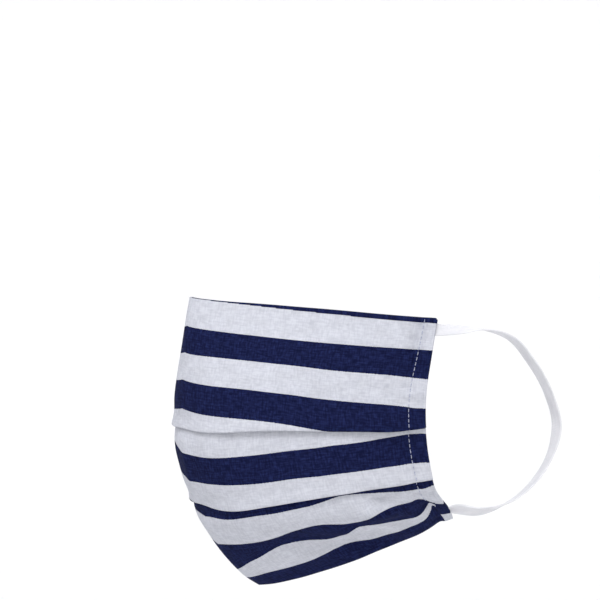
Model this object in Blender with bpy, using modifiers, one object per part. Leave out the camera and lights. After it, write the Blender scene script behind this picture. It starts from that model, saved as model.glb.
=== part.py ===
"""A pleated cloth face mask in the form that it has on a face.

The cloth panel wraps from cheek to cheek over the nose and chin, with two knife pleats that open
downwards. Behind each side edge lies a turned-back hem strip, and the flat elastic of an ear loop is
held between the panel and that strip at the edge's top and bottom.

The frame: metres, +Z up, the wearer looks along -Y and the wearer's left is +X. The origin is the middle
of the top edge, where the mask sits on the bridge of the nose.
"""

import math
from collections import namedtuple

import bmesh
import bpy
import numpy as np

MM = 0.001

# Driving sizes
FACE_HALF_WIDTH = 65 * MM  # from the middle to the top corner of the side edge
FACE_DEPTH = 78 * MM  # from the nose back to that corner
CHIN_DROP = 123.5 * MM  # from the top edge down to the bottom edge, at the middle
HEM_DROP = 96 * MM  # from the top edge's middle down to the side edge's lower end
PLEAT_TUCK = 19 * MM  # the deepest pleat: how far the cloth turns back up under itself
CLOTH_WALL = 1.0 * MM  # two plies of cotton, as one wall
SEAT_GAP = 0.3 * MM  # between two pieces that touch
HEM_WIDTH = 8.5 * MM  # the cloth that is turned back at each side
HEM_SIDE_GAP = 0.4 * MM  # the strip stops this far short of the panel's edge
ELASTIC_WIDTH = 4.5 * MM
ELASTIC_WALL = 0.9 * MM
ELASTIC_GRIP = 6.5 * MM  # the elastic's length that is sewn in under the hem
LOOP_REACH = 46 * MM  # from the side edge back to the ear loop's far side
LAYER_PITCH = CLOTH_WALL + SEAT_GAP  # from one layer of cloth to the next in a pleat

# Where the elastic is sewn in, as shares of the way down the side edge
ELASTIC_TOP_SEAT = 0.04
ELASTIC_LOW_SEAT = 0.88
LOW_SEAT_LAYERS = 0.95  # the lower seat lies this many layers deeper, behind the lower panel

# Rows across the face, from the top edge to the bottom edge.
# down: share of the way down; middle_back, hem_back: of FACE_DEPTH; middle_drop: of CHIN_DROP;
# hem_out, roundness: of FACE_HALF_WIDTH, the second being how far the row runs straight across the nose
# or chin; hem_drop: of HEM_DROP; cheek: share of the row's reach that runs straight to the side edge,
# at heading degrees from +X; sag: how much of the row's fall comes late, near the side edge.
Section = namedtuple(
    "Section", "down middle_back middle_drop hem_out hem_back hem_drop roundness cheek heading sag"
)
SECTIONS = (
    Section(0.00, 0.000, 0.000, 1.000, 0.990, 0.088, 0.16, 0.45, 52, 0.6),
    Section(0.15, -0.035, 0.170, 0.985, 0.962, 0.242, 0.30, 0.45, 56, 0.9),
    Section(0.30, -0.060, 0.340, 0.970, 0.940, 0.395, 0.42, 0.45, 60, 0.9),
    Section(0.45, -0.052, 0.506, 0.960, 0.945, 0.544, 0.50, 0.45, 63, 0.9),
    Section(0.60, 0.020, 0.668, 0.945, 0.982, 0.705, 0.52, 0.45, 66, 0.9),
    Section(0.70, 0.085, 0.765, 0.923, 1.033, 0.815, 0.53, 0.43, 70, 0.8),
    Section(0.80, 0.170, 0.860, 0.855, 1.133, 0.893, 0.49, 0.36, 75, 0.6),
    Section(0.90, 0.290, 0.940, 0.745, 1.245, 0.950, 0.42, 0.28, 78, 0.7),
    Section(1.00, 0.430, 1.000, 0.620, 1.335, 1.000, 0.38, 0.25, 80, 1.4),
)
NOSE_RISE = 0.22  # share of a row's fall that comes before its first bend

# The pleats, from the top. At each station, a share of the way from the middle to the side edge:
# edge: the pleat's fold, as a share of the way down; tuck: its depth, of PLEAT_TUCK.
STATIONS = (0.0, 0.35, 0.70, 0.90, 1.0)
Pleat = namedtuple("Pleat", "edge tuck")
PLEATS = (
    Pleat((0.394, 0.396, 0.428, 0.446, 0.446), (0.47, 0.64, 0.84, 0.98, 1.06)),
    Pleat((0.642, 0.634, 0.652, 0.661, 0.660), (0.21, 0.25, 0.41, 0.37, 0.34)),
)

# Dents and bulges of the slack lower panel, which drape down and towards the middle.
# down, across: the centre, as shares; out: of LAYER_PITCH, positive for a bulge;
# tall, wide: half sizes as shares of the way down and across; slant: fall for each share across.
Dent = namedtuple("Dent", "down across out tall wide slant")
DENTS = (
    Dent(0.76, 0.70, 2.0, 0.050, 0.10, -0.10),
    Dent(0.83, 0.38, -2.0, 0.050, 0.13, -0.10),
    Dent(0.84, 0.59, 0.9, 0.045, 0.07, -0.10),
    Dent(0.91, 0.58, -2.6, 0.050, 0.12, -0.10),
    Dent(0.85, 0.78, -1.2, 0.045, 0.06, -0.10),
    Dent(0.81, 0.93, -1.5, 0.045, 0.05, 0.00),
    Dent(0.93, 0.80, 0.9, 0.040, 0.07, -0.10),
)

# How far behind the panel's front layer the hem strip lies, down the side edge.
# layers: of LAYER_PITCH; elastic: 1 where the elastic lies under the strip.
HemSeat = namedtuple("HemSeat", "down layers elastic")
HEM_SEATS = (
    HemSeat(0.00, 1.00, 1),
    HemSeat(0.14, 1.00, 1),
    HemSeat(0.24, 3.45, 0),
    HemSeat(0.72, 3.45, 0),
    HemSeat(0.84, 2.10, 1),
    HemSeat(1.00, 1.95, 1),
)

# The ear loop's free run, from its upper seat to its lower one.
# fall: share of the way between the seats; back, out: of LOOP_REACH, towards +Y and away from the
# face; tilt: degrees that the flat elastic is turned about its own length.
LoopPoint = namedtuple("LoopPoint", "fall back out tilt")
LOOP_POINTS = (
    LoopPoint(0.000, 0.170, 0.110, 10),
    LoopPoint(0.000, 0.380, 0.190, 80),
    LoopPoint(0.045, 0.600, 0.265, 40),
    LoopPoint(0.180, 0.785, 0.330, 5),
    LoopPoint(0.360, 0.930, 0.385, 0),
    LoopPoint(0.545, 0.985, 0.420, 0),
    LoopPoint(0.705, 0.870, 0.420, 0),
    LoopPoint(0.850, 0.690, 0.365, 10),
    LoopPoint(0.965, 0.475, 0.245, 35),
    LoopPoint(1.015, 0.260, 0.115, 0),
)

# How finely the faceted solids are divided
PANEL_COLUMNS = 40
PANEL_STEPS = (9, 5, 12)  # rows in each visible panel
TURN_STEPS = 4  # facets round a pleat's fold
TUCK_STEPS = 3
CURVE_STEPS = 24
HEM_ROWS = 26
HEM_COLUMNS = 4
LOOP_ROWS = 64

COTTON_COLOUR = (0.62, 0.64, 0.74)
ELASTIC_COLOUR = (0.77, 0.77, 0.78)


def clear_scene():
    for old in list(bpy.data.objects):
        bpy.data.objects.remove(old, do_unlink=True)


def matte_material(name, colour, roughness):
    material = bpy.data.materials.new(name)
    material.use_nodes = True
    shader = material.node_tree.nodes["Principled BSDF"]
    shader.inputs["Base Color"].default_value = (*colour, 1.0)
    shader.inputs["Roughness"].default_value = roughness
    shader.inputs["Metallic"].default_value = 0.0
    return material


def ease(share):
    """0 to 1 with a level start and end."""
    share = np.clip(share, 0, 1)
    return share * share * (3 - 2 * share)


def through(stations, values, at):
    """A smooth curve through the values, its slopes taken from their neighbours."""
    stations, values = np.asarray(stations, float), np.asarray(values, float)
    slopes = np.gradient(values, stations)
    i = np.clip(np.searchsorted(stations, at, side="right") - 1, 0, len(stations) - 2)
    width = stations[i + 1] - stations[i]
    part = (at - stations[i]) / width
    rise = part * part * (3 - 2 * part)
    leaving = part * (1 - part) ** 2 * width * slopes[i]
    arriving = part * part * (1 - part) * width * slopes[i + 1]
    return (1 - rise) * values[i] + rise * values[i + 1] + leaving - arriving


def of_table(table, station, name, at):
    return through([getattr(row, station) for row in table], [getattr(row, name) for row in table], at)


def row_curve(down):
    """Points along half a row, from the middle to the side edge, for each share of the way down."""
    size = {name: of_table(SECTIONS, "down", name, down) for name in Section._fields[1:]}
    level = 0 * down
    middle = np.stack([level, size["middle_back"] * FACE_DEPTH, -size["middle_drop"] * CHIN_DROP], -1)
    hem = np.stack(
        [size["hem_out"] * FACE_HALF_WIDTH, size["hem_back"] * FACE_DEPTH, -size["hem_drop"] * HEM_DROP], -1
    )
    fall = (hem - middle)[..., 2]
    reach = np.linalg.norm(hem - middle, axis=-1)
    over_nose = middle + np.stack([size["roundness"] * FACE_HALF_WIDTH, level, NOSE_RISE * fall], -1)
    heading = np.radians(size["heading"])
    along_cheek = np.stack([np.cos(heading), np.sin(heading), size["sag"] * fall / reach], -1)
    before_hem = hem - (size["cheek"] * reach)[..., None] * along_cheek
    s = np.linspace(0, 1, CURVE_STEPS + 1)[:, None]
    return (
        (1 - s) ** 3 * middle[..., None, :]
        + 3 * s * (1 - s) ** 2 * over_nose[..., None, :]
        + 3 * s * s * (1 - s) * before_hem[..., None, :]
        + s**3 * hem[..., None, :]
    )


def form(down, across):
    """The face form's points, at shares of the way down and of the way across, which is -1 to 1."""
    down, across = np.broadcast_arrays(np.asarray(down, float), np.asarray(across, float))
    curve = row_curve(down.ravel())
    side = across.ravel()
    steps = np.linalg.norm(np.diff(curve, axis=1), axis=2)
    along = np.concatenate([np.zeros((len(side), 1)), np.cumsum(steps, axis=1)], axis=1)
    wanted = np.abs(side) * along[:, -1]
    i = np.clip((along <= wanted[:, None]).sum(1) - 1, 0, CURVE_STEPS - 1)
    row = np.arange(len(side))
    part = (wanted - along[row, i]) / steps[row, i]
    point = curve[row, i] + part[:, None] * (curve[row, i + 1] - curve[row, i])
    point[:, 0] *= np.where(side < 0, -1, 1)
    return point.reshape(down.shape + (3,))


def outward(down, across):
    """The form's unit normals, away from the face."""
    near = 0.004
    fall = form(np.clip(down + near, 0, 1), across) - form(np.clip(down - near, 0, 1), across)
    side = form(down, np.clip(across + near, -1, 1)) - form(down, np.clip(across - near, -1, 1))
    normal = np.cross(fall, side)
    return normal / np.linalg.norm(normal, axis=-1, keepdims=True)


def dent_height(down, across):
    height = 0 * down
    for dent in DENTS:
        aside = np.abs(across) - dent.across
        fall = down - dent.down + dent.slant * aside
        height = height + dent.out * LAYER_PITCH * np.exp(
            -((aside / dent.wide) ** 2) - (fall / dent.tall) ** 2
        )
    return height


def half_turn(start_run, start_out, way):
    """The points of a fold: the cloth turns right round, way +1 at a pleat's edge and -1 at its root."""
    angle = np.linspace(0, math.pi, TURN_STEPS + 1)[1:]
    radius = LAYER_PITCH / 2
    return start_run + way * radius * np.sin(angle), start_out - radius * (1 - np.cos(angle))


def pleated_column(across):
    """One column of cloth, top to bottom: its run down the form, its height out of it, and the form's length."""
    share = np.linspace(0, 1, 60)
    length = np.linalg.norm(np.diff(form(share, across), axis=0), axis=1).sum()
    edges = [through(STATIONS, pleat.edge, abs(across)) * length for pleat in PLEATS]
    tucks = [through(STATIONS, pleat.tuck, abs(across)) * PLEAT_TUCK for pleat in PLEATS]
    run, out = [np.zeros(1)], [np.zeros(1)]

    def lay(runs, outs):
        run.append(runs)
        out.append(outs + 0 * runs)

    for edge, tuck, steps in zip(edges, tucks, PANEL_STEPS):
        lay(np.linspace(run[-1][-1], edge - LAYER_PITCH / 2, steps + 1)[1:], out[-1][-1])
        lay(*half_turn(run[-1][-1], out[-1][-1], 1))
        lay(np.linspace(run[-1][-1], edge - tuck + LAYER_PITCH / 2, TUCK_STEPS + 1)[1:], out[-1][-1])
        lay(*half_turn(run[-1][-1], out[-1][-1], -1))
    lay(np.linspace(run[-1][-1], length, PANEL_STEPS[-1] + 1)[1:], out[-1][-1])
    run, out = np.concatenate(run), np.concatenate(out)
    for edge, end in zip(edges, edges[1:] + [length]):
        out = out + 2 * LAYER_PITCH * ease((run - edge) / (end - edge))
    return run, out, length


def panel_grid():
    columns = []
    for across in np.linspace(-1, 1, PANEL_COLUMNS + 1):
        run, out, length = pleated_column(across)
        down, side = run / length, np.full(len(run), across)
        out = out + dent_height(down, side)
        columns.append(form(down, side) + out[:, None] * outward(down, side))
    return np.array(columns)


def hem_grid(side):
    """The strip behind the side edge; side is +1 for the wearer's left."""
    row_length = np.linalg.norm(np.diff(row_curve(np.array([0.5])), axis=1), axis=2).sum()
    inner, outer = 1 - HEM_WIDTH / row_length, 1 - HEM_SIDE_GAP / row_length
    across, down = np.meshgrid(
        side * np.linspace(inner, outer, HEM_COLUMNS + 1), np.linspace(0.005, 0.995, HEM_ROWS + 1), indexing="ij"
    )
    layers = of_table(HEM_SEATS, "down", "layers", down)
    elastic = of_table(HEM_SEATS, "down", "elastic", down)
    behind = layers * LAYER_PITCH + elastic * (ELASTIC_WALL + SEAT_GAP)
    return form(down, across) + (dent_height(down, across) - behind)[..., None] * outward(down, across)


def elastic_seat(down, side, depth_layers):
    """The elastic's points under the hem, from its end to the panel's edge, and the panel's normal there."""
    row_length = np.linalg.norm(np.diff(row_curve(np.array([down])), axis=1), axis=2).sum()
    across = side * (1 - np.array([ELASTIC_GRIP, ELASTIC_GRIP / 2, 0.0]) / row_length)
    down = np.full(3, down)
    behind = depth_layers * LAYER_PITCH + (CLOTH_WALL + ELASTIC_WALL) / 2 + SEAT_GAP
    height = (dent_height(down, across) - behind)[:, None]
    return form(down, across) + height * outward(down, across), outward(down, across)[-1]


def loop_grid(side):
    """The flat elastic as a strip of points, from its upper seat round behind the ear to its lower one."""
    upper, upper_normal = elastic_seat(ELASTIC_TOP_SEAT, side, 0.0)
    lower, lower_normal = elastic_seat(ELASTIC_LOW_SEAT, side, LOW_SEAT_LAYERS)
    free = [
        upper[-1] + p.fall * (lower[-1] - upper[-1]) + LOOP_REACH * np.array([side * p.out, p.back, 0])
        for p in LOOP_POINTS
    ]
    route = np.array([*upper, *free, *lower[::-1]])
    tilts = [0, 0, 0, *(p.tilt for p in LOOP_POINTS), 0, 0, 0]
    stations = np.concatenate([[0], np.cumsum(np.linalg.norm(np.diff(route, axis=0), axis=1))])
    at = np.linspace(0, stations[-1], LOOP_ROWS + 1)
    centre = np.stack([through(stations, route[:, k], at) for k in range(3)], -1)
    tilt = np.radians(through(stations, tilts, at))
    ahead = np.gradient(centre, axis=0)
    ahead /= np.linalg.norm(ahead, axis=1, keepdims=True)
    share = (at / stations[-1])[:, None]
    facing = upper_normal + share * (lower_normal - upper_normal)
    upright = np.cross(ahead, facing)
    upright /= np.linalg.norm(upright, axis=1, keepdims=True)
    flat = np.cross(upright, ahead)
    width = np.cos(tilt)[:, None] * upright + side * np.sin(tilt)[:, None] * flat
    shares = np.linspace(-0.5, 0.5, 3)
    return centre[None] + shares[:, None, None] * ELASTIC_WIDTH * width[None]


def cloth_object(name, grid, wall, material, collection):
    """A sheet of cloth over a grid of points, as a wall of even thickness."""
    columns, rows = grid.shape[0] - 1, grid.shape[1] - 1
    mesh = bpy.data.meshes.new(name)
    sheet = bmesh.new()
    bmesh.ops.create_grid(sheet, x_segments=columns, y_segments=rows, size=1)
    for vert in sheet.verts:
        column = round((vert.co.x + 1) / 2 * columns)
        row = round((vert.co.y + 1) / 2 * rows)
        vert.co = grid[column, row]
    sheet.to_mesh(mesh)
    sheet.free()
    mesh.materials.append(material)
    mesh.shade_smooth()
    piece = bpy.data.objects.new(name, mesh)
    collection.objects.link(piece)
    solidify = piece.modifiers.new("cloth wall", "SOLIDIFY")
    solidify.thickness = wall
    solidify.offset = 0.0
    return piece


def build_mask():
    clear_scene()
    collection = bpy.data.collections.new("cloth_face_mask")
    bpy.context.scene.collection.children.link(collection)
    cotton = matte_material("striped cotton", COTTON_COLOUR, 0.9)
    elastic = matte_material("white elastic", ELASTIC_COLOUR, 0.8)
    cloth_object("pleated_panel", panel_grid(), CLOTH_WALL, cotton, collection)
    for side, word in ((1, "left"), (-1, "right")):
        cloth_object(f"side_hem_{word}", hem_grid(side), CLOTH_WALL, cotton, collection)
        cloth_object(f"ear_loop_{word}", loop_grid(side), ELASTIC_WALL, elastic, collection)


build_mask()
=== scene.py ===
"""The looks of a pleated cloth face mask in the form that it has when worn, built round its solids.

Metres, +Z up. The wearer looks along -Y and the wearer's left is +X. The origin is the middle of the
panel's top edge. The cloth's form comes from the same sections, pleats and dents as the solids, at a finer
pitch, with the sewn line, lifted pleat lips and small ripples that a sewn mask has.
"""

import math
from collections import namedtuple

import bpy
import numpy as np
from bpy.props import FloatProperty, FloatVectorProperty, IntProperty, PointerProperty
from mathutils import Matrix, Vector


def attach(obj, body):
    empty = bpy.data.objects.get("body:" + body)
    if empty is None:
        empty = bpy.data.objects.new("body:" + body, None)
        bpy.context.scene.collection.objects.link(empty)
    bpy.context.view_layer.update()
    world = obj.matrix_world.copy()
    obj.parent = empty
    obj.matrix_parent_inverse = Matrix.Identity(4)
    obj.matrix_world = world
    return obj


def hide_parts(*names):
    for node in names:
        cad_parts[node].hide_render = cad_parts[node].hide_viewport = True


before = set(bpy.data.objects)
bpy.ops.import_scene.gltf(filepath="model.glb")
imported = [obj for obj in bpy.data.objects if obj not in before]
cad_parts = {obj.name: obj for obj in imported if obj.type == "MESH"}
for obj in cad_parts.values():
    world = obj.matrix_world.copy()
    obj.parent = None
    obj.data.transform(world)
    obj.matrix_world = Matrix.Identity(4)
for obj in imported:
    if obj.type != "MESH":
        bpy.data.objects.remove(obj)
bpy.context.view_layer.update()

bl_info = {
    "name": "Pleated Cloth Face Mask",
    "version": (1, 0, 0),
    "blender": (4, 5, 0),
    "location": "View3D > Sidebar > Face Mask",
    "description": "Builds a striped, pleated cloth face mask with flat elastic ear loops",
    "category": "Add Mesh",
}

MM = 0.001
BODY = "root"
SIDES = ((1, "left"), (-1, "right"))

# Sizes of the sewn mask
FACE_HALF_WIDTH = 65 * MM  # from the middle to the top corner of the side edge
FACE_DEPTH = 78 * MM  # from the nose back to that corner
CHIN_DROP = 123.5 * MM  # from the top edge down to the bottom edge, at the middle
HEM_DROP = 96 * MM  # from the top edge's middle down to the side edge's lower end
PLEAT_TUCK = 19 * MM  # the deepest pleat: how far the cloth turns back up under itself
CLOTH_WALL = 0.5 * MM  # two plies of cotton, as one wall
SEAT_GAP = 0.15 * MM  # between two pieces that touch
DENT_DEPTH = 1.3 * MM  # what the dents' heights are shares of
HEM_WIDTH = 8.5 * MM  # the cloth that is turned back at each side
HEM_WALL = 0.7 * MM  # the turned cloth, pressed by the seam
HEM_TURN_INSET = 0.5 * MM  # where the strip turns round the panel's edge
HEM_TURN_REACH = 0.2 * MM  # how far the turn's middle reaches past that
HEM_LAP_WALL = 0.3 * MM  # the turned cloth on the panel's front
HEM_LAP_GAP = 0.02 * MM
HEM_LAP_RIM = 0.12 * MM  # where it fades into the panel
PANEL_EDGE_INSET = 0.75 * MM  # the panel's own edge lies this far inside the turned hem
ELASTIC_WIDTH = 4.5 * MM
ELASTIC_WALL = 0.9 * MM
ELASTIC_GRIP = 6.5 * MM  # the elastic's length that is sewn in under the hem
LOOP_REACH = 46 * MM  # from the side edge back to the ear loop's far side
LAYER_PITCH = CLOTH_WALL + SEAT_GAP  # from one layer of cloth to the next in a pleat
FLAT_WIDTH = 206 * MM  # the unfolded panel
FLAT_HEIGHT = 166 * MM
STRIPE_SKEW = 1.8 * MM  # how much further down the stripes lie at the sides than at the middle
STRIPE_UNEVEN = 0.5 * MM  # how unevenly a stripe's edge runs from thread to thread
STRIP_PLACE = -1 * MM  # the place down the cloth that the navy strip at the top takes its colour from
FIRST_PLACE = 0.5 * MM  # the least place down the cloth below that strip

# The photograph and how it was taken
PICTURE = 600  # pixels along each side
FOCAL = 1468  # the lens's focal length in pixels
LEVEL_POINT = (323.3, 243.7)  # the pixel that a level camera's axis falls on
VIEWED_POINT = Vector((30 * MM, 45 * MM, 0))  # what the camera's distance is measured from

# The studio, in metres. A lamp's place is right of, towards the camera from and above the lit point.
BACKDROP_RADIUS = 2.2  # to the foot of the wall
BACKDROP_SWEEP = 0.9  # radius of the sweep from floor to wall
BACKDROP_WALL = 1.6
BACKDROP_STEPS = 12
BACKDROP_SIDES = 96
LIT_POINT = Vector((20 * MM, 20 * MM, -60 * MM))
Lamp = namedtuple("Lamp", "right toward up size")
KEY_LAMP = Lamp(-0.2, 0.75, 1.2, 0.6)
FILL_LAMP = Lamp(0.8, 1.2, 0.1, 1.0)

# Where the elastic is sewn in, as shares of the way down the side edge
ELASTIC_TOP_SEAT = 0.04
ELASTIC_LOW_SEAT = 0.88
LOW_SEAT_LAYERS = 0.95  # the lower seat lies this many layers deeper, behind the lower panel

# Rows across the face, from the top edge to the bottom edge.
# down: share of the way down; middle_back, hem_back: of FACE_DEPTH; middle_drop: of CHIN_DROP;
# hem_out, roundness: of FACE_HALF_WIDTH, the second being how far the row runs straight across the nose
# or chin; hem_drop: of HEM_DROP; cheek: share of the row's reach that runs straight to the side edge,
# at heading degrees from +X; sag: how much of the row's fall comes late, near the side edge.
Section = namedtuple(
    "Section", "down middle_back middle_drop hem_out hem_back hem_drop roundness cheek heading sag"
)
SECTIONS = (
    Section(0.00, 0.000, 0.000, 1.000, 0.990, 0.088, 0.16, 0.45, 52, 0.6),
    Section(0.15, -0.035, 0.170, 0.985, 0.962, 0.242, 0.30, 0.45, 56, 0.9),
    Section(0.30, -0.060, 0.340, 0.970, 0.940, 0.395, 0.42, 0.45, 60, 0.9),
    Section(0.45, -0.052, 0.506, 0.960, 0.945, 0.544, 0.50, 0.45, 63, 0.9),
    Section(0.60, 0.020, 0.668, 0.945, 0.982, 0.705, 0.52, 0.45, 66, 0.9),
    Section(0.70, 0.085, 0.765, 0.923, 1.033, 0.815, 0.53, 0.43, 70, 0.8),
    Section(0.80, 0.170, 0.860, 0.855, 1.133, 0.893, 0.49, 0.36, 75, 0.6),
    Section(0.90, 0.290, 0.940, 0.745, 1.245, 0.950, 0.42, 0.28, 78, 0.7),
    Section(1.00, 0.430, 1.000, 0.620, 1.335, 1.000, 0.38, 0.25, 80, 1.4),
)
NOSE_RISE = 0.22  # share of a row's fall that comes before its first bend

# The pleats, from the top. At each station, a share of the way from the middle to the side edge:
# edge: the pleat's fold, as a share of the way down; tuck: its depth, of PLEAT_TUCK;
# lift: how far its lip stands off the cloth below it, of LAYER_PITCH.
STATIONS = (0.0, 0.18, 0.35, 0.70, 0.90, 1.0)
Pleat = namedtuple("Pleat", "edge tuck lift")
PLEATS = (
    Pleat(
        edge=(0.384, 0.396, 0.398, 0.428, 0.447, 0.446),
        tuck=(0.47, 0.56, 0.64, 0.84, 0.98, 1.06),
        lift=(0.0, 0.8, 1.5, 0.9, 1.7, 0.2),
    ),
    Pleat(
        edge=(0.632, 0.653, 0.648, 0.648, 0.651, 0.651),
        tuck=(0.21, 0.23, 0.25, 0.41, 0.37, 0.34),
        lift=(0.0, 0.5, 0.8, 0.5, 0.9, 0.2),
    ),
)
LIP_HEIGHT = 11 * MM  # how far above a pleat's edge its lip starts to lift

# Dents and bulges of the slack lower panel, which drape down and towards the middle.
# down, across: the centre, as shares; out: of DENT_DEPTH, positive for a bulge;
# tall, wide: half sizes as shares of the way down and across; slant: fall for each share across.
Dent = namedtuple("Dent", "down across out tall wide slant")
DENTS = (
    Dent(0.76, 0.70, 2.0, 0.050, 0.10, -0.10),
    Dent(0.83, 0.38, -2.0, 0.050, 0.13, -0.10),
    Dent(0.84, 0.59, 0.9, 0.045, 0.07, -0.10),
    Dent(0.91, 0.58, -2.6, 0.050, 0.12, -0.10),
    Dent(0.85, 0.78, -1.2, 0.045, 0.06, -0.10),
    Dent(0.81, 0.93, -1.5, 0.045, 0.05, 0.00),
    Dent(0.93, 0.80, 0.9, 0.040, 0.07, -0.10),
)

# Where the bottom edge lies, as a share of the way down: it climbs a little towards the side edge.
BottomEdge = namedtuple("BottomEdge", "across down")
BOTTOM_EDGE = (
    BottomEdge(0.00, 0.985),
    BottomEdge(0.12, 0.993),
    BottomEdge(0.30, 1.000),
    BottomEdge(0.55, 0.990),
    BottomEdge(0.75, 0.978),
    BottomEdge(0.90, 0.952),
    BottomEdge(1.00, 0.950),
)

# Softer folds, which the solids leave out. They are in the same terms.
FOLDS = (
    Dent(0.36, 0.00, -0.9, 0.035, 0.20, 0.00),
    Dent(0.45, 0.00, 0.8, 0.060, 0.20, 0.00),
    Dent(0.63, 0.00, -1.5, 0.045, 0.20, 0.00),
    Dent(0.70, 0.00, 0.6, 0.045, 0.20, 0.00),
    Dent(0.52, 0.00, 0.5, 0.110, 0.03, 0.00),
    Dent(0.58, 0.30, -0.5, 0.060, 0.16, -0.10),
    Dent(0.70, 0.67, 1.0, 0.045, 0.05, -0.10),
    Dent(0.70, 0.78, -1.1, 0.030, 0.05, 0.00),
    Dent(0.89, 0.32, 0.7, 0.030, 0.11, -0.10),
    Dent(0.72, 0.42, 0.5, 0.040, 0.10, -0.20),
)

# How far the sewn cloth has crept from an even lay: for each stripe's edge, how many mm lower than its
# even place it lies, at stations across. The edges are named for their navy stripe. Further right than
# the first station, the right half repeats the left one.
Creep = namedtuple(
    "Creep", "across first_top first_low second_top second_low fourth_top fourth_low "
    "fifth_low sixth_top sixth_low seventh_top"
)
CREPT_EDGES = (12, 24, 36, 48, 84, 96, 120, 132, 144, 156)  # mm down the cloth
CREEPS = (
    Creep(-0.40, 0.0, -1.0, -1.2, -0.8, 1.2, 1.4, 1.5, -0.2, -1.2, -2.8),
    Creep(-0.30, 0.0, -1.0, -1.3, -0.8, 0.4, 1.0, 2.1, 1.6, -0.4, -1.6),
    Creep(-0.15, 0.0, -0.9, -1.3, -0.8, -3.0, -1.0, 3.0, 3.6, 7.0, -0.3),
    Creep(0.00, 0.0, -0.6, -1.6, -1.2, -0.2, 0.5, 2.2, 3.6, 7.0, 0.6),
    Creep(0.15, 0.0, -0.9, -1.3, -0.8, 1.9, 2.0, 3.6, 4.1, 2.0, -0.3),
    Creep(0.30, 0.0, -1.0, -1.3, -0.8, 1.9, 2.3, 2.1, 3.0, -3.0, -1.2),
    Creep(0.40, 0.0, -1.0, -1.2, -0.8, 1.2, 1.4, 1.5, -0.2, -1.2, -2.8),
    Creep(0.49, 0.0, -1.1, -1.3, -0.6, 0.2, 0.2, 1.5, -1.2, 1.8, -3.4),
    Creep(0.62, -0.4, -1.2, -1.5, -0.5, -1.7, -1.7, -0.6, 1.2, -6.6, 0.3),
    Creep(0.78, -0.6, -1.1, -1.1, -0.5, -0.9, -0.7, 2.6, -1.4, 2.1, -4.3),
    Creep(0.88, -0.6, -0.6, -0.4, -0.3, 0.3, 1.2, 5.4, -0.6, 0.0, -6.8),
    Creep(0.92, -0.6, -0.3, -0.1, -0.2, 0.6, 1.6, 5.8, -0.4, -2.4, -10.6),
    Creep(0.95, -0.6, -0.1, 0.2, 0.0, 1.0, 2.0, 6.0, 4.4, -4.4, -14.8),
    Creep(1.00, -0.7, -0.1, 0.1, 0.0, 1.8, 2.7, 5.0, 6.2, 5.7, 2.3),
)

# How far behind the panel's front layer the hem strip lies, down the side edge.
# layers: of LAYER_PITCH; elastic: 1 where the elastic lies under the strip.
HemSeat = namedtuple("HemSeat", "down layers elastic")
HEM_SEATS = (
    HemSeat(0.00, 1.00, 1),
    HemSeat(0.14, 1.00, 1),
    HemSeat(0.24, 3.45, 0),
    HemSeat(0.72, 3.45, 0),
    HemSeat(0.84, 2.10, 1),
    HemSeat(1.00, 1.95, 1),
)

# The ear loop's free run, from its upper seat to its lower one.
# fall: share of the way between the seats; back, out: of LOOP_REACH, towards +Y and away from the
# face; tilt: degrees that the flat elastic is turned about its own length.
LoopPoint = namedtuple("LoopPoint", "fall back out tilt")
LOOP_POINTS = (
    LoopPoint(0.000, 0.170, 0.110, 52),
    LoopPoint(0.000, 0.380, 0.190, 102),
    LoopPoint(0.045, 0.600, 0.260, 127),
    LoopPoint(0.180, 0.780, 0.320, 137),
    LoopPoint(0.360, 0.920, 0.370, 133),
    LoopPoint(0.545, 0.965, 0.400, 126),
    LoopPoint(0.705, 0.860, 0.405, 88),
    LoopPoint(0.850, 0.685, 0.360, 65),
    LoopPoint(0.965, 0.475, 0.245, 34),
    LoopPoint(1.015, 0.260, 0.115, -14),
)
UPPER_SEAT_TILT = 8  # degrees, where the elastic leaves the hem
LOWER_SEAT_TILT = -10
SEAT_STEPS = 5  # stretches of the elastic's route that lie under the hem

# The seam that holds the side hem, down the side edge.
# inset: from the side edge to the stitches, in mm; dip: how deep they pull the cloth in, in mm.
Seam = namedtuple("Seam", "down inset dip")
SEAM = (
    Seam(0.00, 5.2, 2.60),
    Seam(0.12, 5.6, 2.20),
    Seam(0.30, 6.7, 0.90),
    Seam(0.62, 6.9, 0.60),
    Seam(0.80, 6.6, 0.80),
    Seam(1.00, 6.0, 0.70),
)
SEAM_BODY_SIDE = 3.8 * MM  # how wide the dip is on the panel's side of the stitches
SEAM_BAND_SIDE = 1.6 * MM  # and on the hem's side
SEAM_SHOWN = 0.79  # below this share of the way down, the seam lies in the crease of the turned corner

# The turned top edge, where the navy stripe above the first white one shows.
# strip: its height; rise: how far the edge stands above the straight run of the form, both in mm.
TopEdge = namedtuple("TopEdge", "across strip rise")
TOP_EDGE = (
    TopEdge(0.00, 0.0, 0.0),
    TopEdge(0.10, 0.2, 0.3),
    TopEdge(0.35, 1.1, 1.1),
    TopEdge(0.60, 1.6, 1.1),
    TopEdge(0.85, 1.7, 0.6),
    TopEdge(1.00, 1.7, 0.5),
)
TOP_RISE_REACH = 9 * MM  # how far down the cloth the rise fades out
TOP_ROLL = 2.4 * MM  # the height of the fold, which stands out a little
TOP_ROLL_OUT = 0.35 * MM

# How far in from the side edge the turned cloth laps over the panel's front, in mm. Below the second
# pleat it is folded right over the corner.
Corner = namedtuple("Corner", "down cuff")
CORNER = (
    Corner(0.00, 1.3),
    Corner(0.62, 1.3),
    Corner(0.70, 1.3),
    Corner(0.78, 3.4),
    Corner(0.84, 4.8),
    Corner(0.90, 4.6),
    Corner(1.00, 3.6),
)

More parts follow.
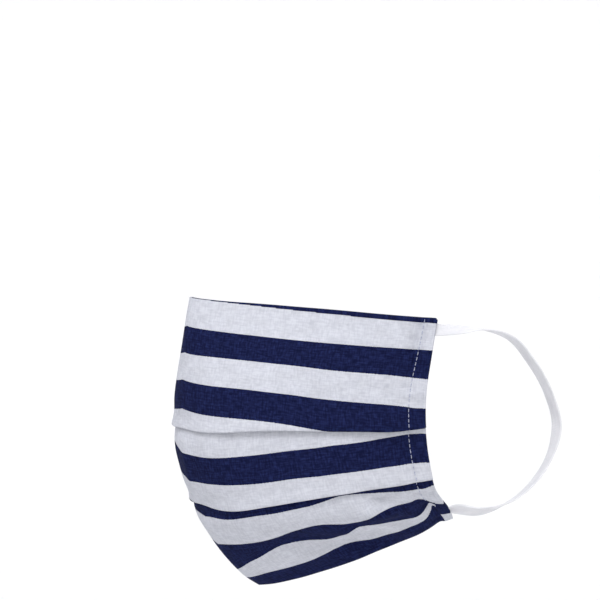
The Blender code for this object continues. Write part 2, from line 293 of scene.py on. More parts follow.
# The ripples: a sum of products of sine waves. height: of half the ripple's height;
# waves: for each, mm across and mm down in which it turns by one radian, and its start in radians.
Ripple = namedtuple("Ripple", "height waves")
RIPPLES = (
    Ripple(1.0, ((9.1, 31.0, 0.4), (-57.0, 12.7, 1.3))),
    Ripple(0.6, ((5.3, -17.0, 2.1), (23.0, 7.9, 0.0))),
    Ripple(0.4, ((14.9, 6.1, 0.9),)),
    Ripple(0.25, ((2.9, 8.3, 1.7), (-11.0, 3.7, 0.5))),
)
RIPPLE_CALM = 4 * MM  # how near the side edge the ripples fade out
PUCKER_HEIGHT = 0.45  # the puckers that run off the seam, of the ripple's height
PUCKER_TURN = 0.95 * MM  # the puckers turn by one radian in this
PUCKER_SWING = 0.6  # radians that they run ahead or behind, in turns of PUCKER_WANDER
PUCKER_WANDER = 3.7 * MM
PUCKER_INSET = 7.5 * MM
PUCKER_REACH = 3.5 * MM

# The running stitches, as shares of the pitch, the thread's width or its radius
STITCH_STARTS = {1: 0.3, -1: 0.8}  # where the first one starts, on the front and on the inside
STITCH_RISE = 0.75  # how far a stitch's middle rises above its ends
STITCH_SINK = 0.45  # how deep its ends lie in the cloth
STITCH_END = 0.55  # the radius at its ends
STITCH_MARGIN = 0.006  # share of the way down that stays free at each end of the seam

# The elastic's section, as shares of its wall
RIB_HEIGHT = 0.28
ELASTIC_EDGE_THINNING = 0.25

# How finely the pieces are divided
MIDDLE_COLUMNS = 150
EDGE_COLUMNS = 34  # in the last share of the way across, from EDGE_SHARE on
EDGE_SHARE = 0.86
PANEL_STEPS = (50, 32, 56)  # rows in each visible panel
TOP_STEPS = 12  # rows in the turned top edge
TURN_STEPS = 6
TUCK_STEPS = 6
CURVE_STEPS = 96
RIM_STEPS = 4
HEM_ROWS = 220
HEM_COLUMNS = 9
TURN_COLUMNS = 10
CUFF_COLUMNS = 8
LOOP_ROWS = 360
LOOP_COLUMNS = 28
STITCH_SIDES = 8
STITCH_POINTS = 9
SEAM_STATIONS = 8  # columns that are looked up between the least and the greatest inset
LENGTH_STEPS = 60
NORMAL_REACH = 0.004  # the form's slope is felt this far to each side, as a share of it
HEM_MARGIN = 0.004  # share of the way down that the hem stays inside the panel's ends
BESIDE_EDGE = 0.99  # share across; from there to 1 the form shows which way is out past its edge

# A Wave texture of this scale has one band in a cell, and a pattern doesn't change along an endless one.
BAND_SCALE = 0.314
ENDLESS = 4.0


def linear(colour):
    """An sRGB hex colour as linear red, green and blue."""
    parts = [int(colour[i : i + 2], 16) / 255 for i in (1, 3, 5)]
    return tuple(c / 12.92 if c <= 0.04045 else ((c + 0.055) / 1.055) ** 2.4 for c in parts)


class ClothSettings(bpy.types.PropertyGroup):
    """The woven cotton of the panel and its hems."""

    stripe: FloatProperty(
        name="Stripe", description="Height of one stripe", default=12 * MM, unit="LENGTH", precision=4
    )
    navy: FloatVectorProperty(
        name="Navy", description="Dyed yarn", size=3, subtype="COLOR", default=linear("#0D1232")
    )
    white: FloatVectorProperty(
        name="White", description="Bleached yarn", size=3, subtype="COLOR", default=linear("#C6C8D0")
    )
    thread: FloatProperty(
        name="Thread pitch",
        description="From one drawn thread to the next",
        default=0.5 * MM,
        unit="LENGTH",
        precision=5,
    )
    ripple: FloatProperty(
        name="Ripple",
        description="Height of the cloth's small ripples",
        default=0.40 * MM,
        unit="LENGTH",
        precision=5,
    )


class StitchSettings(bpy.types.PropertyGroup):
    """The running stitches that hold the side hems."""

    pitch: FloatProperty(
        name="Pitch", description="From one stitch to the next", default=2.0 * MM, unit="LENGTH", precision=4
    )
    shown: FloatProperty(
        name="Length", description="Thread shown in one stitch", default=1.5 * MM, unit="LENGTH", precision=4
    )
    width: FloatProperty(
        name="Width", description="Thickness of the thread", default=0.34 * MM, unit="LENGTH", precision=5
    )
    # The thread's colour is drawn darker than the real pale thread: painted shade of the needle holes in the
    # cloth.
    thread: FloatVectorProperty(
        name="Thread", description="Colour of the thread", size=3, subtype="COLOR", default=linear("#B2B6CA")
    )


class ElasticSettings(bpy.types.PropertyGroup):
    """The flat braided elastic of the ear loops."""

    ribs: IntProperty(name="Ribs", description="Lengthwise ribs of the braid", default=7, min=2, max=16)
    white: FloatVectorProperty(
        name="White", description="Covered elastic", size=3, subtype="COLOR", default=linear("#D2D2D6")
    )


class StudioSettings(bpy.types.PropertyGroup):
    """The camera, the lamps and the floor."""

    azimuth: FloatProperty(
        name="Azimuth",
        description="Camera's turn about the mask, from its front",
        default=math.radians(58),
        subtype="ANGLE",
    )
    distance: FloatProperty(name="Distance", description="Camera to the mask", default=0.6, unit="LENGTH")
    height: FloatProperty(name="Height", description="Camera above the nose", default=22 * MM, unit="LENGTH")
    field: FloatProperty(
        name="Field of view",
        description="Across the picture",
        default=2 * math.atan(PICTURE / 2 / FOCAL),
        subtype="ANGLE",
    )
    floor: FloatProperty(name="Floor", description="Floor below the nose", default=0.75, unit="LENGTH")
    paper: FloatVectorProperty(
        name="Paper", description="Floor and backdrop", size=3, subtype="COLOR", default=linear("#FFFFFF")
    )
    key: FloatProperty(name="Key lamp", description="Power, from above", default=13.0, unit="POWER")
    fill: FloatProperty(name="Fill lamp", description="Power, beside the camera", default=0.9, unit="POWER")
    sky: FloatProperty(name="Sky", description="Strength of the light from above", default=0.92)


def ease(share):
    """0 to 1 with a level start and end."""
    share = np.clip(share, 0, 1)
    return share * share * (3 - 2 * share)


def through(stations, values, at):
    """A smooth curve through the values, its slopes taken from their neighbours."""
    stations, values = np.asarray(stations, float), np.asarray(values, float)
    slopes = np.gradient(values, stations)
    i = np.clip(np.searchsorted(stations, at, side="right") - 1, 0, len(stations) - 2)
    width = stations[i + 1] - stations[i]
    part = (at - stations[i]) / width
    rise = part * part * (3 - 2 * part)
    leaving = part * (1 - part) ** 2 * width * slopes[i]
    arriving = part * part * (1 - part) * width * slopes[i + 1]
    return (1 - rise) * values[i] + rise * values[i + 1] + leaving - arriving


def of_table(table, station, name, at):
    """One of a table's columns as a smooth curve over another."""
    return through(*([getattr(row, column) for row in table] for column in (station, name)), at)


def unit(vectors):
    return vectors / np.linalg.norm(vectors, axis=-1, keepdims=True)


def row_curve(down):
    """Points along half a row, from the middle to the side edge, for each share of the way down."""
    size = {name: of_table(SECTIONS, "down", name, down) for name in Section._fields[1:]}
    level = 0 * down
    middle = np.stack([level, size["middle_back"] * FACE_DEPTH, -size["middle_drop"] * CHIN_DROP], -1)
    hem = np.stack(
        [size["hem_out"] * FACE_HALF_WIDTH, size["hem_back"] * FACE_DEPTH, -size["hem_drop"] * HEM_DROP], -1
    )
    fall = (hem - middle)[..., 2]
    reach = np.linalg.norm(hem - middle, axis=-1)
    over_nose = middle + np.stack([size["roundness"] * FACE_HALF_WIDTH, level, NOSE_RISE * fall], -1)
    heading = np.radians(size["heading"])
    along_cheek = np.stack([np.cos(heading), np.sin(heading), size["sag"] * fall / reach], -1)
    before_hem = hem - (size["cheek"] * reach)[..., None] * along_cheek
    s = np.linspace(0, 1, CURVE_STEPS + 1)[:, None]
    return (
        (1 - s) ** 3 * middle[..., None, :]
        + 3 * s * (1 - s) ** 2 * over_nose[..., None, :]
        + 3 * s * s * (1 - s) * before_hem[..., None, :]
        + s**3 * hem[..., None, :]
    )


def row_length(down):
    """Half a row's length, from the middle to the side edge."""
    return np.linalg.norm(np.diff(row_curve(down), axis=1), axis=2).sum(1)


def form(down, across):
    """The face form's points, at shares of the way down and of the way across, which is -1 to 1."""
    down, across = np.broadcast_arrays(np.asarray(down, float), np.asarray(across, float))
    curve = row_curve(down.ravel())
    side = across.ravel()
    steps = np.linalg.norm(np.diff(curve, axis=1), axis=2)
    along = np.concatenate([np.zeros((len(side), 1)), np.cumsum(steps, axis=1)], axis=1)
    wanted = np.abs(side) * along[:, -1]
    i = np.clip((along <= wanted[:, None]).sum(1) - 1, 0, CURVE_STEPS - 1)
    row = np.arange(len(side))
    part = (wanted - along[row, i]) / steps[row, i]
    point = curve[row, i] + part[:, None] * (curve[row, i + 1] - curve[row, i])
    point[:, 0] *= np.where(side < 0, -1, 1)
    return point.reshape(down.shape + (3,))


def outward(down, across):
    """The form's unit normals, away from the face."""
    near = NORMAL_REACH
    fall = form(np.clip(down + near, 0, 1), across) - form(np.clip(down - near, 0, 1), across)
    side = form(down, np.clip(across + near, -1, 1)) - form(down, np.clip(across - near, -1, 1))
    return unit(np.cross(fall, side))


def dent_height(down, across, dents=DENTS):
    """How far the dents and bulges move the cloth out of the form."""
    height = 0 * down
    for dent in dents:
        aside = np.abs(across) - dent.across
        fall = down - dent.down + dent.slant * aside
        height = height + dent.out * DENT_DEPTH * np.exp(
            -((aside / dent.wide) ** 2) - (fall / dent.tall) ** 2
        )
    return height


def seam_dip(down, across):
    """How far the stitches pull the cloth in, beside the side edges."""
    from_edge = (1 - np.abs(across)) * FLAT_WIDTH / 2
    from_seam = from_edge - of_table(SEAM, "down", "inset", down) * MM
    spread = np.where(from_seam > 0, SEAM_BODY_SIDE, SEAM_BAND_SIDE)
    return of_table(SEAM, "down", "dip", down) * MM * np.exp(-((from_seam / spread) ** 2))


def ripples(down, across):
    """Small ripples of soft cloth, and the puckers that run off the seam."""
    u, v = across * FLAT_WIDTH / 2, down * CHIN_DROP
    waves = 0 * u
    for ripple in RIPPLES:
        turns = [np.sin((u / aside + v / fall) / MM + start) for aside, fall, start in ripple.waves]
        waves = waves + ripple.height * math.prod(turns)
    from_edge = (1 - np.abs(across)) * FLAT_WIDTH / 2
    pucker = np.sin(v / PUCKER_TURN + PUCKER_SWING * np.sin(v / PUCKER_WANDER))
    pucker = pucker * np.exp(-(((from_edge - PUCKER_INSET) / PUCKER_REACH) ** 2))
    calm = ease(from_edge / RIPPLE_CALM)
    return bpy.context.scene.mask_cloth.ripple * (calm * waves / 2 + PUCKER_HEIGHT * pucker)


def fine_relief(down, across):
    """How far all but the pleats move the cloth out of the form."""
    return dent_height(down, across, DENTS + FOLDS) + ripples(down, across) - seam_dip(down, across)


def pleat_lines(across, length):
    """Each pleat's edge and tuck at a column, as lengths down the form."""
    edges = [through(STATIONS, pleat.edge, abs(across)) * length for pleat in PLEATS]
    tucks = [through(STATIONS, pleat.tuck, abs(across)) * PLEAT_TUCK for pleat in PLEATS]
    return edges, tucks


def bottom_share(across):
    """Where the bottom edge lies, as a share of the way down."""
    return of_table(BOTTOM_EDGE, "across", "down", np.abs(across))


def column_length(across):
    """The form's length down a column."""
    share = np.linspace(0, 1, LENGTH_STEPS)
    return np.linalg.norm(np.diff(form(share, across), axis=0), axis=1).sum()


def shingle_rise(run, edges, length):
    """How the cloth below each pleat climbs back out to the next pleat's edge."""
    rise = 0 * run
    for edge, end in zip(edges, edges[1:] + [length]):
        rise = rise + 2 * LAYER_PITCH * ease((run - edge) / (end - edge))
    return rise


def half_turn(start_run, start_out, way):
    """The points of a fold: the cloth turns right round, way +1 at a pleat's edge and -1 at its root."""
    angle = np.linspace(0, math.pi, TURN_STEPS + 1)[1:]
    radius = LAYER_PITCH / 2
    return start_run + way * radius * np.sin(angle), start_out - radius * (1 - np.cos(angle))


def pleated_column(across):
    """One column of cloth, top to bottom: its run down the form, its height out of it, how far its lips are
    lifted, and the form's length."""
    length = column_length(across)
    edges, tucks = pleat_lines(across, length)
    run, out, lift = [np.zeros(1)], [np.zeros(1)], [np.zeros(1)]

    def lay(runs, outs, lip=0.0, edge=0.0, reach=LIP_HEIGHT):
        run.append(runs)
        out.append(outs + 0 * runs)
        lift.append(lip * ease((runs - edge + reach) / reach))

    lay(np.linspace(0, TOP_ROLL, TOP_STEPS + 1)[1:], 0.0)
    for edge, tuck, steps, pleat in zip(edges, tucks, PANEL_STEPS, PLEATS):
        lip = through(STATIONS, pleat.lift, abs(across)) * LAYER_PITCH
        reach = min(LIP_HEIGHT, tuck - LAYER_PITCH / 2)
        lay(np.linspace(run[-1][-1], edge - LAYER_PITCH / 2, steps + 1)[1:], out[-1][-1], lip, edge, reach)
        lay(*half_turn(run[-1][-1], out[-1][-1], 1), lip, edge, reach)
        root = edge - tuck + LAYER_PITCH / 2
        lay(np.linspace(run[-1][-1], root, TUCK_STEPS + 1)[1:], out[-1][-1], lip, edge, reach)
        lay(*half_turn(run[-1][-1], out[-1][-1], -1))
    lay(np.linspace(run[-1][-1], length * bottom_share(across), PANEL_STEPS[-1] + 1)[1:], out[-1][-1])
    run, out, lift = np.concatenate(run), np.concatenate(out), np.concatenate(lift)
    return run, out + shingle_rise(run, edges, length), lift, length


def cloth_down(points, across):
    """How far down the cloth each point of a column lies, on the scale that the stripes follow."""
    walked = np.concatenate([[0], np.cumsum(np.linalg.norm(np.diff(points, axis=0), axis=1))])
    whole = walked[-1] + (1 - bottom_share(across)) * column_length(across)
    even = walked / whole * FLAT_HEIGHT - STRIPE_SKEW * abs(across)
    edges = np.array([-STRIPE_SKEW / MM, *CREPT_EDGES, FLAT_HEIGHT / MM]) * MM
    station = across if across > CREEPS[0].across else -across
    creep = [of_table(CREEPS, "across", name, station) for name in Creep._fields[1:]]
    lain = np.interp(even, edges + np.array([0, *creep, 0]) * MM, edges)
    strip = of_table(TOP_EDGE, "across", "strip", abs(across)) * MM
    return np.where(walked < strip, STRIP_PLACE, np.maximum(lain, FIRST_PLACE))


Column = namedtuple("Column", "points normals cloth down edges")


def cloth_column(across):
    """One column of the panel's middle surface, from the top edge to the bottom edge. cloth is the place
    down the cloth, down the share of the way down the face, and edges are where its panels start and end."""
    run, out, lift, length = pleated_column(across)
    down, side = run / length, np.full(len(run), float(across))
    normals = outward(down, side)
    base = form(down, side) + (out + dent_height(down, side))[:, None] * normals
    roll = TOP_ROLL_OUT * np.sin(math.pi * np.clip(run / TOP_ROLL, 0, 1)) ** 2 * ease(abs(across))
    fine = lift + dent_height(down, side, FOLDS) + roll + ripples(down, side) - seam_dip(down, side)
    edges = [0.0, *(edge / length for edge in pleat_lines(across, length)[0]), 1.0]
    points = base + fine[:, None] * normals
    rise = of_table(TOP_EDGE, "across", "rise", abs(across)) * MM
    points[:, 2] += rise * (1 - ease(run / TOP_RISE_REACH))
    return Column(points, normals, cloth_down(base, across), down, edges)


def shown_at(column, down):
    """The points, normals and places down the cloth of a column's outermost layer, at shares of the way
    down."""
    values = np.concatenate([column.points, column.normals, column.cloth[:, None]], axis=1)
    shown = np.empty((len(down), values.shape[1]))
    first = 0
    panels = PANEL_STEPS[0] + TOP_STEPS, *PANEL_STEPS[1:]
    for steps, top, end in zip(panels, column.edges, column.edges[1:]):
        rows = slice(first, first + steps + 1)
        here = (down >= top) & (down <= end)
        for k in range(values.shape[1]):
            shown[here, k] = np.interp(down[here], column.down[rows], values[rows, k])
        first += steps + 2 * TURN_STEPS + TUCK_STEPS
    return shown[:, :3], shown[:, 3:6], shown[:, 6]


def seam_surface(down, inset, side):
    """Points and normals on the panel's front layer, at insets from the side edge."""
    stations = np.linspace(inset.min(), inset.max(), SEAM_STATIONS)
    columns = [cloth_column(side * (1 - station / (FLAT_WIDTH / 2))) for station in stations]
    looks = [shown_at(column, down) for column in columns]
    points, normals = (np.array([look[k] for look in looks]) for k in (0, 1))
    i = np.clip(np.searchsorted(stations, inset) - 1, 0, len(stations) - 2)
    part = ((inset - stations[i]) / (stations[i + 1] - stations[i]))[..., None]
    at = np.arange(len(down))
    return (1 - part) * points[i, at] + part * points[i + 1, at], normals[i, at]


def panel_columns():
    """The panel's columns, as shares across: they lie closer near the side edges."""
    edge = np.linspace(EDGE_SHARE, 1 - PANEL_EDGE_INSET / (FLAT_WIDTH / 2), EDGE_COLUMNS + 1)
    middle = np.linspace(-EDGE_SHARE, EDGE_SHARE, MIDDLE_COLUMNS + 1)
    return np.concatenate([-edge[::-1], middle[1:-1], edge])


def panel_grid():
    """The panel's middle surface and its cloth coordinates, column by column."""
    columns = [(across, cloth_column(across)) for across in panel_columns()]
    points = np.array([column.points for _, column in columns])
    v = np.array([column.cloth for _, column in columns])
    u = np.array([across for across, _ in columns])[:, None] * FLAT_WIDTH / 2 + 0 * v
    return points, np.stack([u, v, 0 * v], -1)


def hem_depth(down):
    """How far behind the panel's front layer the middle of the hem strip lies."""
    behind = of_table(HEM_SEATS, "down", "layers", down) * LAYER_PITCH
    return behind + of_table(HEM_SEATS, "down", "elastic", down) * (ELASTIC_WALL + SEAT_GAP)


def hem_grid(side):
    """The strip turned back behind the side edge, the fold that it makes round that edge and what it laps
    over the panel's front, with the wall at each column."""
    down = np.linspace(HEM_MARGIN, bottom_share(1.0) - HEM_MARGIN, HEM_ROWS + 1)
    half = row_length(down)
    behind = hem_depth(down)
    shown = shown_at(cloth_column(float(side)), down)[2]
    points, insets = [], []
    for inset in np.linspace(HEM_WIDTH, HEM_TURN_INSET, HEM_COLUMNS + 1):
        across = side * (1 - inset / half)
        height = (fine_relief(down, across) - behind)[:, None]
        points.append(form(down, across) + height * outward(down, across))
        insets.append(inset + 0 * down)
    lap_share = np.linspace(0, 1, CUFF_COLUMNS + 1)
    cuff = of_table(CORNER, "down", "cuff", down) * MM
    lap_insets = HEM_TURN_INSET + lap_share[:, None] * (cuff - HEM_TURN_INSET)
    lap_wall = HEM_LAP_WALL + lap_share * (HEM_LAP_RIM - HEM_LAP_WALL)
    surface, normal = seam_surface(down, lap_insets, side)
    lap = surface + ((CLOTH_WALL + lap_wall) / 2 + HEM_LAP_GAP)[:, None, None] * normal
    past_edge = unit(form(down, float(side)) - form(down, side * BESIDE_EDGE))
    back = points[-1]
    turn_wall = np.linspace(HEM_WALL, HEM_LAP_WALL, TURN_COLUMNS + 1)[1:-1]
    for angle in np.linspace(0, math.pi, TURN_COLUMNS + 1)[1:-1]:
        level = (1 - math.cos(angle)) / 2
        points.append(back + level * (lap[0] - back) + HEM_TURN_REACH * math.sin(angle) * past_edge)
        insets.append(HEM_TURN_INSET - HEM_TURN_REACH * math.sin(angle) + 0 * down)
    points, insets = np.array([*points, *lap]), np.array([*insets, *lap_insets])
    wall = np.concatenate([np.full(HEM_COLUMNS + 1, HEM_WALL), turn_wall, lap_wall])
    cloth = np.stack([side * (FLAT_WIDTH / 2 - insets), shown + 0 * insets, 0 * insets], -1)
    return points[::side], cloth[::side], wall[::side, None]


def elastic_seat(down, side, depth_layers):
    """The elastic's points under the hem, from its end to the panel's edge, and the panel's normal there."""
    insets = np.linspace(ELASTIC_GRIP, 0, SEAT_STEPS + 1)
    across = side * (1 - insets / row_length(np.array([down])))
    down = np.full(len(insets), down)
    behind = depth_layers * LAYER_PITCH + (CLOTH_WALL + ELASTIC_WALL) / 2 + SEAT_GAP
    height = (dent_height(down, across) - seam_dip(down, across) - behind)[:, None]
    return form(down, across) + height * outward(down, across), outward(down, across)[-1]


def loop_grid(side):
    """The flat elastic's middle surface, from its upper seat round behind the ear to its lower one."""
    upper, upper_normal = elastic_seat(ELASTIC_TOP_SEAT, side, 0.0)
    lower, lower_normal = elastic_seat(ELASTIC_LOW_SEAT, side, LOW_SEAT_LAYERS)
    free = [
        upper[-1] + p.fall * (lower[-1] - upper[-1]) + LOOP_REACH * np.array([side * p.out, p.back, 0])
        for p in LOOP_POINTS
    ]
    route = np.array([*upper, *free, *lower[::-1]])
    sewn = [0] * SEAT_STEPS
    tilts = [*sewn, UPPER_SEAT_TILT, *(p.tilt for p in LOOP_POINTS), LOWER_SEAT_TILT, *sewn]
    stations = np.concatenate([[0], np.cumsum(np.linalg.norm(np.diff(route, axis=0), axis=1))])
    at = np.linspace(0, stations[-1], LOOP_ROWS + 1)
    centre = np.stack([through(stations, route[:, k], at) for k in range(3)], -1)
    tilt = np.radians(through(stations, tilts, at))
    ahead = unit(np.gradient(centre, axis=0))
    share = (at / stations[-1])[:, None]
    facing = upper_normal + share * (lower_normal - upper_normal)
    upright = unit(np.cross(ahead, facing))
    flat = np.cross(upright, ahead)
    width = np.cos(tilt)[:, None] * upright + side * np.sin(tilt)[:, None] * flat
    shares = np.linspace(-0.5, 0.5, LOOP_COLUMNS + 1)
    points = centre[None] + shares[:, None, None] * ELASTIC_WIDTH * width[None]
    u = np.broadcast_to(shares[:, None] * ELASTIC_WIDTH, points.shape[:2])
    v = np.broadcast_to(at[None], points.shape[:2])
    return points, np.stack([u, v, 0 * u], -1)


def grid_normals(points):
    """Unit normals of a grid of points, which lie in columns."""
    return unit(np.cross(np.gradient(points, axis=1), np.gradient(points, axis=0)))


def border(columns, rows):
    """The grid's border once round, as column and row numbers."""
    c = [*range(columns - 1), *[columns - 1] * (rows - 1), *range(columns - 1, 0, -1), *[0] * (rows - 1)]
    r = [*[0] * (columns - 1), *range(rows - 1), *[rows - 1] * (columns - 1), *range(rows - 1, 0, -1)]
    return np.array(c), np.array(r)


def cloth_piece(name, verts, faces, fields, material):
    """A smooth mesh whose points carry their cloth coordinates, in metres across and down the cloth."""
    mesh = bpy.data.meshes.new(name)
    mesh.from_pydata(np.concatenate(verts), [], faces)
    attribute = mesh.attributes.new("cloth", "FLOAT_VECTOR", "POINT")
    attribute.data.foreach_set("vector", np.concatenate(fields).astype(np.float32).ravel())
    mesh.materials.append(material)
    mesh.shade_smooth()
    piece = bpy.data.objects.new(name, mesh)
    bpy.context.scene.collection.objects.link(piece)
    return piece


def closed_cloth(name, points, cloth, wall, material):
    """A wall of cloth about a grid of points, with round edges. Its cloth coordinates go with it."""
    columns, rows = points.shape[:2]
    normal = grid_normals(points)
    half = np.broadcast_to(np.asarray(wall) / 2, (columns, rows))[..., None]
    c, r = border(columns, rows)
    inner_c, inner_r = np.clip(c, 1, columns - 2), np.clip(r, 1, rows - 2)
    away = unit(points[c, r] - points[inner_c, inner_r])
    away = unit(away - (away * normal[c, r]).sum(-1, keepdims=True) * normal[c, r])
    count = columns * rows
    verts = [(points + half * normal).reshape(-1, 3), (points - half * normal).reshape(-1, 3)]
    fields = [cloth.reshape(-1, 3), cloth.reshape(-1, 3)]
    index = np.arange(count).reshape(columns, rows)
    corner = index[:-1, :-1], index[1:, :-1], index[1:, 1:], index[:-1, 1:]
    front = np.stack([part.ravel() for part in corner], -1)
    faces = [front[:, ::-1], front + count]
    ring = index[c, r]
    for step in range(1, RIM_STEPS + 1):
        angle = math.pi * step / RIM_STEPS
        next_ring = index[c, r] + count
        if step < RIM_STEPS:
            lean = math.cos(angle) * normal[c, r] + math.sin(angle) * away
            verts.append(points[c, r] + half[c, r] * lean)
            fields.append(cloth[c, r])
            next_ring = 2 * count + (step - 1) * len(c) + np.arange(len(c))
        faces.append(np.stack([ring, np.roll(ring, -1), np.roll(next_ring, -1), next_ring], -1))
        ring = next_ring
    return cloth_piece(name, verts, np.concatenate(faces), fields, material)


def add_node(tree, kind, inputs=None, out=0, **settings):
    """Adds a node and returns its output. Settings are its properties. Inputs are sockets or values, by
    name or number: a Mix node's colours are 6 and 7, and a Map Range node's 1 to 4 are its two ranges."""
    node = tree.nodes.new("ShaderNode" + kind)
    for name, value in settings.items():
        setattr(node, name, value)
    for name, source in (inputs or {}).items():
        if isinstance(source, bpy.types.NodeSocket):
            tree.links.new(source, node.inputs[name])
        else:
            node.inputs[name].default_value = source
    return node.outputs[out]


def new_material(name, roughness, sheen=0.0):
    """A material with its shader, whose constant values sit on its own sockets."""
    material = bpy.data.materials.new(name)
    material.use_nodes = True
    tree = material.node_tree
    shader = tree.nodes["Principled BSDF"]
    shader.inputs["Roughness"].default_value = roughness
    shader.inputs["IOR"].default_value = 1.5
    shader.inputs["Sheen Weight"].default_value = sheen
    shader.inputs["Sheen Roughness"].default_value = 0.5
    return material, tree, shader


def cloth_place(tree, across, down):
    """The cloth coordinates, counted in cells of the given size in metres."""
    place = add_node(tree, "Attribute", out="Vector", attribute_name="cloth")
    return add_node(tree, "VectorMath", {0: place, 1: (1 / across, 1 / down, 1.0)}, operation="MULTIPLY")


def yarn_dyed_cotton():
    """Yarn-dyed cotton poplin, plain woven: matt, with slubs that run along the weft and pale flecks in
    the navy where the white core of a thread shows."""
    cloth = bpy.context.scene.mask_cloth
    material, tree, shader = new_material("yarn-dyed cotton poplin", 0.9)
    # The loose fibres swallow most of the gloss.
    shader.inputs["Specular IOR Level"].default_value = 0.06
    noises = []
    for across, down, detail in ((3.4, 0.7, 2.0), (0.7, 3.0, 2.0), (7, 5, 3.0)):
        place = cloth_place(tree, across * MM, down * MM)
        noises.append(add_node(tree, "TexNoise", {"Vector": place, "Scale": 1.0, "Detail": detail}))
    slub, warp, mottle = noises
    # Real poplin has a thread each 0.25 mm; they are drawn twice as coarse so that the weave shows.
    threads = []
    for across, down, way in ((ENDLESS, cloth.thread, "Y"), (cloth.thread, ENDLESS, "X")):
        place = cloth_place(tree, across, down)
        waves = {"Vector": place, "Scale": BAND_SCALE, "Distortion": 0.6, "Detail": 1.0}
        threads.append(add_node(tree, "TexWave", waves, "Fac", bands_direction=way))
    place = add_node(tree, "Attribute", out="Vector", attribute_name="cloth")
    down_cloth = add_node(tree, "SeparateXYZ", {0: place}, "Y")
    uneven = add_node(tree, "Math", {0: warp, 1: STRIPE_UNEVEN, 2: down_cloth}, operation="MULTIPLY_ADD")
    repeat = add_node(tree, "Math", {0: uneven, 1: 2 * cloth.stripe}, operation="FLOORED_MODULO")
    edge = cloth.stripe + STRIPE_UNEVEN / 2
    dyed = add_node(tree, "Math", {0: repeat, 1: edge}, operation="GREATER_THAN")
    fleck = add_node(tree, "Math", {0: slub, 1: warp}, operation="MULTIPLY")
    share = add_node(tree, "MapRange", {"Value": fleck, 1: 0.16, 2: 0.42, 3: 0.0, 4: 0.6})
    navy, flecked = (*cloth.navy, 1.0), (*linear("#262F5E"), 1.0)
    dyed_colour = add_node(tree, "Mix", {"Factor": share, 6: navy, 7: flecked}, 2, data_type="RGBA")
    share = add_node(tree, "MapRange", {"Value": fleck, 1: 0.12, 2: 0.34, 3: 0.0, 4: 1.0})
    white, shaded = (*cloth.white, 1.0), (*linear("#B5B7C1"), 1.0)
    pale_colour = add_node(tree, "Mix", {"Factor": share, 6: shaded, 7: white}, 2, data_type="RGBA")
    colours = {"Factor": dyed, 6: pale_colour, 7: dyed_colour}
    colour = add_node(tree, "Mix", colours, 2, data_type="RGBA")
    tone = add_node(tree, "MapRange", {"Value": mottle, 1: 0.3, 2: 0.7, 3: 0.90, 4: 1.0})
    toned = add_node(tree, "VectorMath", {0: colour, "Scale": tone}, operation="SCALE")
    tree.links.new(toned, shader.inputs["Base Color"])
    weave = add_node(tree, "Math", {0: threads[0], 1: threads[1]}, operation="MULTIPLY")
    height = add_node(tree, "Math", {0: slub, 1: 1.2, 2: weave}, operation="MULTIPLY_ADD")
    bump = add_node(tree, "Bump", {"Height": height, "Strength": 0.35, "Distance": 0.10 * MM})
    tree.links.new(bump, shader.inputs["Normal"])
    return material


def braided_elastic():
    """White braided elastic, rubber cores covered with polyester yarn: soft lengthwise ribs crossed by
    fine slanting yarns, and a faint sheen."""
    white = (*bpy.context.scene.mask_elastic.white, 1.0)
    material, tree, shader = new_material("braided white elastic", 0.7, 0.15)
    # The strap is thin enough for light to come through it.
    shader.inputs["Subsurface Weight"].default_value = 0.6
    shader.inputs["Subsurface Scale"].default_value = 2 * MM
    shader.inputs["Subsurface Radius"].default_value = (1.0, 1.0, 1.0)
    place = cloth_place(tree, 1.0 * MM, 0.6 * MM)
    waves = {"Vector": place, "Scale": BAND_SCALE, "Distortion": 1.0, "Detail": 1.0}
    yarn = add_node(tree, "TexWave", waves, "Fac", bands_direction="DIAGONAL")
    place = cloth_place(tree, 2 * MM, 9 * MM)
    soiled = add_node(tree, "TexNoise", {"Vector": place, "Scale": 1.0, "Detail": 2.0})
    share = add_node(tree, "MapRange", {"Value": soiled, 1: 0.3, 2: 0.7, 3: 0.0, 4: 1.0})
    colours = {"Factor": share, 6: (*linear("#C8C8CD"), 1.0), 7: white}
    colour = add_node(tree, "Mix", colours, 2, data_type="RGBA")
    tree.links.new(colour, shader.inputs["Base Color"])
    bump = add_node(tree, "Bump", {"Height": yarn, "Strength": 0.4, "Distance": 0.08 * MM})
    tree.links.new(bump, shader.inputs["Normal"])
    return material


def spun_thread():
    """Spun polyester sewing thread, two plies twisted: matt, with a fine slant. The thread is drawn darker
    than its real pale colour, as painted shade of the needle holes, and its darker slanting bands are
    painted shade in the grooves between the plies.
    """
    thread = (*bpy.context.scene.mask_stitch.thread, 1.0)
    material, tree, shader = new_material("spun polyester thread", 0.65)
    place = cloth_place(tree, 0.5 * MM, 0.35 * MM)
    waves = {"Vector": place, "Scale": BAND_SCALE, "Distortion": 0.5}
    ply_relief_and_groove_shade = add_node(tree, "TexWave", waves, "Fac", bands_direction="DIAGONAL")
    # Painted shade: the thread darkens towards this colour in the grooves between its twisted plies.
    colours = {"Factor": ply_relief_and_groove_shade, 6: (*linear("#82879F"), 1.0), 7: thread}
    colour = add_node(tree, "Mix", colours, 2, data_type="RGBA")
    tree.links.new(colour, shader.inputs["Base Color"])
    bump = add_node(tree, "Bump", {"Height": ply_relief_and_groove_shade, "Strength": 0.4, "Distance": 0.05 * MM})
    tree.links.new(bump, shader.inputs["Normal"])
    return material


